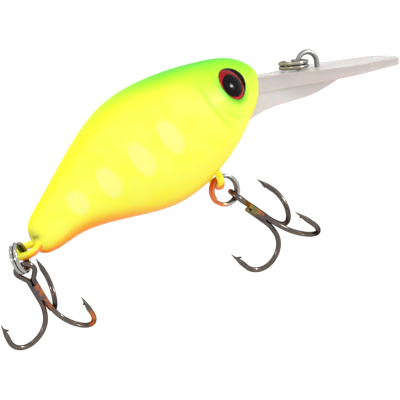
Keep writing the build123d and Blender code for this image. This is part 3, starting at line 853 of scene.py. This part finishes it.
class CrankbaitSettings(bpy.types.PropertyGroup):
    """Sizes and colours of the lure's finish and of its stage."""

    yellow: colour_setting("Yellow", "Main body colour", (1.0, 1.0, 0.30))
    pale_yellow: colour_setting("Pale yellow", "Lighter clouds in the body colour", (1.0, 1.0, 0.38))
    # Deeper yellow towards the back; with the golden yellow it leaves the paler flank as a partly painted
    # highlight.
    rich_yellow: colour_setting("Rich yellow", "Thicker yellow above and below", (0.97, 0.95, 0.02))
    golden: colour_setting("Golden yellow", "Warmer yellow above the belly's orange", (1.0, 0.92, 0.04))
    lime: colour_setting("Lime", "Colour sprayed round the eyes", (0.74, 0.99, 0.14))
    green: colour_setting("Green", "Colour along the back", (0.43, 0.91, 0.05))
    emerald: colour_setting("Emerald", "Darkest green, on the ridge of the back", (0.24, 0.82, 0.20))
    eye_green: colour_setting("Eye green", "Green against the lower edge of the eyes", (0.36, 0.86, 0.0))
    orange: colour_setting("Orange", "Colour along the belly", (1.00, 0.61, 0.08))
    tail_orange: colour_setting("Tail orange", "Deeper orange under the tail", (1.00, 0.44, 0.03))
    olive: colour_setting("Olive", "Smear of overspray on the tail", (0.60, 0.56, 0.22))
    patch_cream: colour_setting("Patch", "Cream patches on the flank", (1.0, 1.0, 0.60))
    net_cream: colour_setting("Net", "Threads of the net in the patches", (1.0, 0.98, 0.46))
    # The glow is emission: partly the paint's fluorescence, partly painted light that brightens it.
    glow: share_setting("Glow", "Light that the fluorescent paint adds", 0.15)
    crease_depth: length_setting("Crease depth", "Depth of the gill creases", 0.00012)
    steel: colour_setting("Hook steel", "Black nickel on the hooks", (0.41, 0.37, 0.35))
    nickel: colour_setting("Nickel", "Plating of the split rings", (0.68, 0.67, 0.655))
    # Painted shade inside the rings and between their coils.
    ring_shadow: colour_setting("Dull plating", "Inside the rings and between coils", (0.34, 0.32, 0.30))
    # Overspray on the hooks; on the belly's split ring the same orange is a painted reflection of the belly.
    overspray: colour_setting("Overspray", "Body colour caught by the hooks", (0.86, 0.45, 0.18))
    wire_grey: colour_setting("Line tie", "Bare wire of the line tie", (0.58, 0.58, 0.57))
    lip_colour: colour_setting("Lip", "Milky plastic of the diving lip", (0.79, 0.77, 0.76))
    # Lighter plastic for the lip's scuffs, and painted light in a band through the middle of its thickness.
    lip_scuff_and_lit_band: colour_setting("Lip core", "Middle of the lip's thickness", (0.83, 0.80, 0.79))
    # Painted light that offsets the shade under the blade.
    lip_neck: colour_setting("Lip neck", "Lighter plastic of the neck under the blade", (0.88, 0.86, 0.85))
    # Painted glow, in place of light passing through the milky plastic.
    lip_glow: share_setting("Lip glow", "Light that the milky plastic passes through", 0.08)
    iris: colour_setting("Iris", "Red foil of the eyes", (0.88, 0.13, 0.20))
    iris_shade: colour_setting("Iris shade", "Darker part of the foil", (0.60, 0.04, 0.09))
    # Also painted shade on the walls of the eye sockets.
    pupil: colour_setting("Pupil", "Printed pupil and rim of the eyes", (0.03, 0.02, 0.02))
    pupil_width: length_setting("Pupil width", "Breadth of the pupil", 0.0034)
    pupil_height: length_setting("Pupil height", "Height of the pupil", 0.0032)
    picture_width: length_setting("Picture width", "Width of what the camera sees at the lure", 0.0545)
    camera_distance: length_setting("Distance", "Camera to lure", 1.0)
    sky: share_setting("Ambient light", "Strength of the light from all round", 0.82)
    key: power_setting("Key light", "Strength of the main lamp and of the fill lamp", 0.07)
    eye_glint: power_setting("Eye glint", "Lamp that only shines in gloss, for the eyes", 0.45)
    wire_glint: power_setting("Wire glint", "Lamp that only shines in gloss, for the wires", 0.16)
    glint_size: length_setting("Glint size", "Breadth of both gloss lamps", 0.03)


# ---------------------------------------------------------------- operators
class CRANKBAIT_OT_body(bpy.types.Operator):
    """Painted halves of the body, with gill creases and eye sockets"""

    bl_idname = "crankbait.body"
    bl_label = "Body"

    def execute(self, context):
        paint = body_paint()
        for name, side in SIDES:
            half = name + "_painted_half"
            mesh = solid_mesh(half, *body_half(side))
            add_piece(half, mesh, paint, "lure_body", "painted_shell", name + "_body_shell")
        return {"FINISHED"}


class CRANKBAIT_OT_eyes(bpy.types.Operator):
    """Printed eye discs and clear lenses"""

    bl_idname = "crankbait.eyes"
    bl_label = "Eyes"

    def execute(self, context):
        dress(red_foil(), "right_eye_disc", "left_eye_disc")
        resin = clear_resin()
        for name, side in SIDES:
            lens = name + "_clear_lens"
            mesh = solid_mesh(lens, *clear_lens(side))
            add_piece(lens, mesh, resin, "lure_body", "clear_resin", name + "_eye_lens")
        return {"FINISHED"}


class CRANKBAIT_OT_lip(bpy.types.Operator):
    """Milky diving lip"""

    bl_idname = "crankbait.lip"
    bl_label = "Diving lip"

    def execute(self, context):
        dress(milky_plastic(), "diving_lip")
        return {"FINISHED"}


class CRANKBAIT_OT_wires(bpy.types.Operator):
    """Line tie, hook hangers, ballast and rattle balls"""

    bl_idname = "crankbait.wires"
    bl_label = "Wires and weights"

    def execute(self, context):
        s = settings()
        tie = plain_metal("line_tie_steel", s.wire_grey, 0.42, 0.85)
        balls = plain_metal("bearing_steel", s.nickel, 0.15, 0.9)
        dress(tie.material, "line_tie_wire")
        dress(balls.material, "front_rattle_ball", "rear_rattle_ball", "belly_ballast")
        for hanger in PAINTED_WIRES:
            dress(painted_wire(hanger), hanger)
        return {"FINISHED"}


class CRANKBAIT_OT_rings(bpy.types.Operator):
    """Nickel split rings"""

    bl_idname = "crankbait.rings"
    bl_label = "Split rings"

    def execute(self, context):
        for ring in RING_TINTS:
            dress(ring_metal(ring), ring)
        return {"FINISHED"}


class CRANKBAIT_OT_hooks(bpy.types.Operator):
    """Black nickel treble hooks"""

    bl_idname = "crankbait.hooks"
    bl_label = "Treble hooks"

    def execute(self, context):
        for end in ("belly", "tail"):
            dress(hook_metal(end), end + "_double_hook", end + "_single_hook", end + "_hook_braze")
        return {"FINISHED"}


class CRANKBAIT_OT_stage(bpy.types.Operator):
    """White floor and background, soft lamps and the camera"""

    bl_idname = "crankbait.stage"
    bl_label = "Stage"

    def execute(self, context):
        s = settings()
        scene = context.scene
        low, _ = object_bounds()
        white_world(s.sky)
        white_floor(low.z - FLOOR_DROP)
        target = Vector(in_frame(PICTURE_MIDDLE))
        back = CAMERA_BACK.normalized()
        up = back.cross(CAMERA_RIGHT).normalized()
        view = Matrix((up.cross(back), up, back)).transposed()
        eye_way = glint_way(back)
        area_lamp("key_lamp", target, view @ Vector(KEY_WAY), SOFT_LAMP_SIZE, s.key)
        area_lamp("fill_lamp", target, eye_way, SOFT_LAMP_SIZE, s.key)
        glints = (
            area_lamp("eye_glint", target, eye_way, s.glint_size, s.eye_glint),
            area_lamp("wire_glint", target, view @ Vector(WIRE_GLINT_WAY), s.glint_size, s.wire_glint),
        )
        for lamp in glints:
            lamp.visible_diffuse = False
        camera = bpy.data.cameras.new("camera")
        camera.lens = camera.sensor_width * s.camera_distance / s.picture_width
        camera.clip_end = 10
        seat = bpy.data.objects.new("camera", camera)
        seat.matrix_world = Matrix.Translation(target + back * s.camera_distance) @ view.to_4x4()
        scene.collection.objects.link(seat)
        scene.camera = seat
        scene.view_settings.view_transform = "Standard"
        return {"FINISHED"}


def glint_way(toward_camera):
    """Way to the lamp that the right eye's lens mirrors to the camera from behind its own middle."""
    _, normal, forward, _ = eye_axes(-1)
    tilted = Vector(normal - GLINT_LEAN * forward).normalized()
    return 2 * tilted.dot(toward_camera) * tilted - toward_camera


def seen_rays(tree):
    """1 for the rays of the camera, of mirrors and of glass, else 0."""
    path = tree.nodes.new("ShaderNodeLightPath")
    total = path.outputs["Is Camera Ray"]
    for kind in ("Is Glossy Ray", "Is Transmission Ray"):
        node = tree.nodes.new("ShaderNodeMath")
        node.operation = "MAXIMUM"
        tree.links.new(total, node.inputs[0])
        tree.links.new(path.outputs[kind], node.inputs[1])
        total = node.outputs[0]
    return total


def white_world(strength):
    """Light from all round, which the camera, mirrors and glass see as plain white."""
    world = bpy.data.worlds.new("white_room")
    bpy.context.scene.world = world
    world.use_nodes = True
    tree = world.node_tree
    background = tree.nodes["Background"]
    level = tree.nodes.new("ShaderNodeMapRange")
    level.inputs["To Min"].default_value = strength
    level.inputs["To Max"].default_value = 1.0
    tree.links.new(seen_rays(tree), level.inputs["Value"])
    tree.links.new(level.outputs["Result"], background.inputs["Strength"])
    background.inputs["Color"].default_value = (1, 1, 1, 1)


def white_floor(level):
    """A wide pale floor that looks white and keeps a faint shadow."""
    mesh = bpy.data.meshes.new("floor")
    half = FLOOR_HALF
    corners = [(-half, -half, level), (half, -half, level), (half, half, level), (-half, half, level)]
    mesh.from_pydata(corners, [], [(0, 1, 2, 3)])
    floor = bpy.data.objects.new("floor", mesh)
    bpy.context.scene.collection.objects.link(floor)
    material = bpy.data.materials.new("pale_floor")
    material.use_nodes = True
    tree = material.node_tree
    shader = tree.nodes["Principled BSDF"]
    shader.inputs["Base Color"].default_value = opaque((FLOOR_TONE,) * 3)
    shader.inputs["Roughness"].default_value = 0.9
    shader.inputs["Specular IOR Level"].default_value = 0.0
    shader.inputs["Emission Color"].default_value = opaque((FLOOR_GLOW,) * 3)
    tree.links.new(seen_rays(tree), shader.inputs["Emission Strength"])
    mesh.materials.append(material)
    floor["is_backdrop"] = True


def area_lamp(name, target, way, size, power):
    """A square lamp that shines at the target from that way."""
    lamp = bpy.data.lights.new(name, "AREA")
    lamp.shape = "SQUARE"
    lamp.size = size
    lamp.energy = power
    seat = bpy.data.objects.new(name, lamp)
    seat.location = target + way.normalized() * LAMP_DISTANCE
    seat.rotation_mode = "QUATERNION"
    seat.rotation_quaternion = (target - seat.location).to_track_quat("-Z", "Y")
    bpy.context.scene.collection.objects.link(seat)
    return seat


class CRANKBAIT_PT_panel(bpy.types.Panel):
    """Sidebar list of the lure's pieces and its settings"""

    bl_idname = "CRANKBAIT_PT_panel"
    bl_label = "Crankbait lure"
    bl_space_type = "VIEW_3D"
    bl_region_type = "UI"
    bl_category = "Crankbait"

    def draw(self, context):
        for operator in OPERATORS:
            self.layout.operator(operator.bl_idname)
        for name in CrankbaitSettings.__annotations__:
            self.layout.prop(context.scene.crankbait, name)


OPERATORS = (
    CRANKBAIT_OT_body,
    CRANKBAIT_OT_eyes,
    CRANKBAIT_OT_lip,
    CRANKBAIT_OT_wires,
    CRANKBAIT_OT_rings,
    CRANKBAIT_OT_hooks,
    CRANKBAIT_OT_stage,
)
CLASSES = (CrankbaitSettings, *OPERATORS, CRANKBAIT_PT_panel)


def register():
    for kind in CLASSES:
        bpy.utils.register_class(kind)
    bpy.types.Scene.crankbait = PointerProperty(type=CrankbaitSettings)


def unregister():
    del bpy.types.Scene.crankbait
    for kind in reversed(CLASSES):
        bpy.utils.unregister_class(kind)


def main():
    register()
    bpy.ops.crankbait.body()
    bpy.ops.crankbait.eyes()
    bpy.ops.crankbait.lip()
    bpy.ops.crankbait.wires()
    bpy.ops.crankbait.rings()
    bpy.ops.crankbait.hooks()
    bpy.ops.crankbait.stage()


if __name__ == "__main__":
    main()
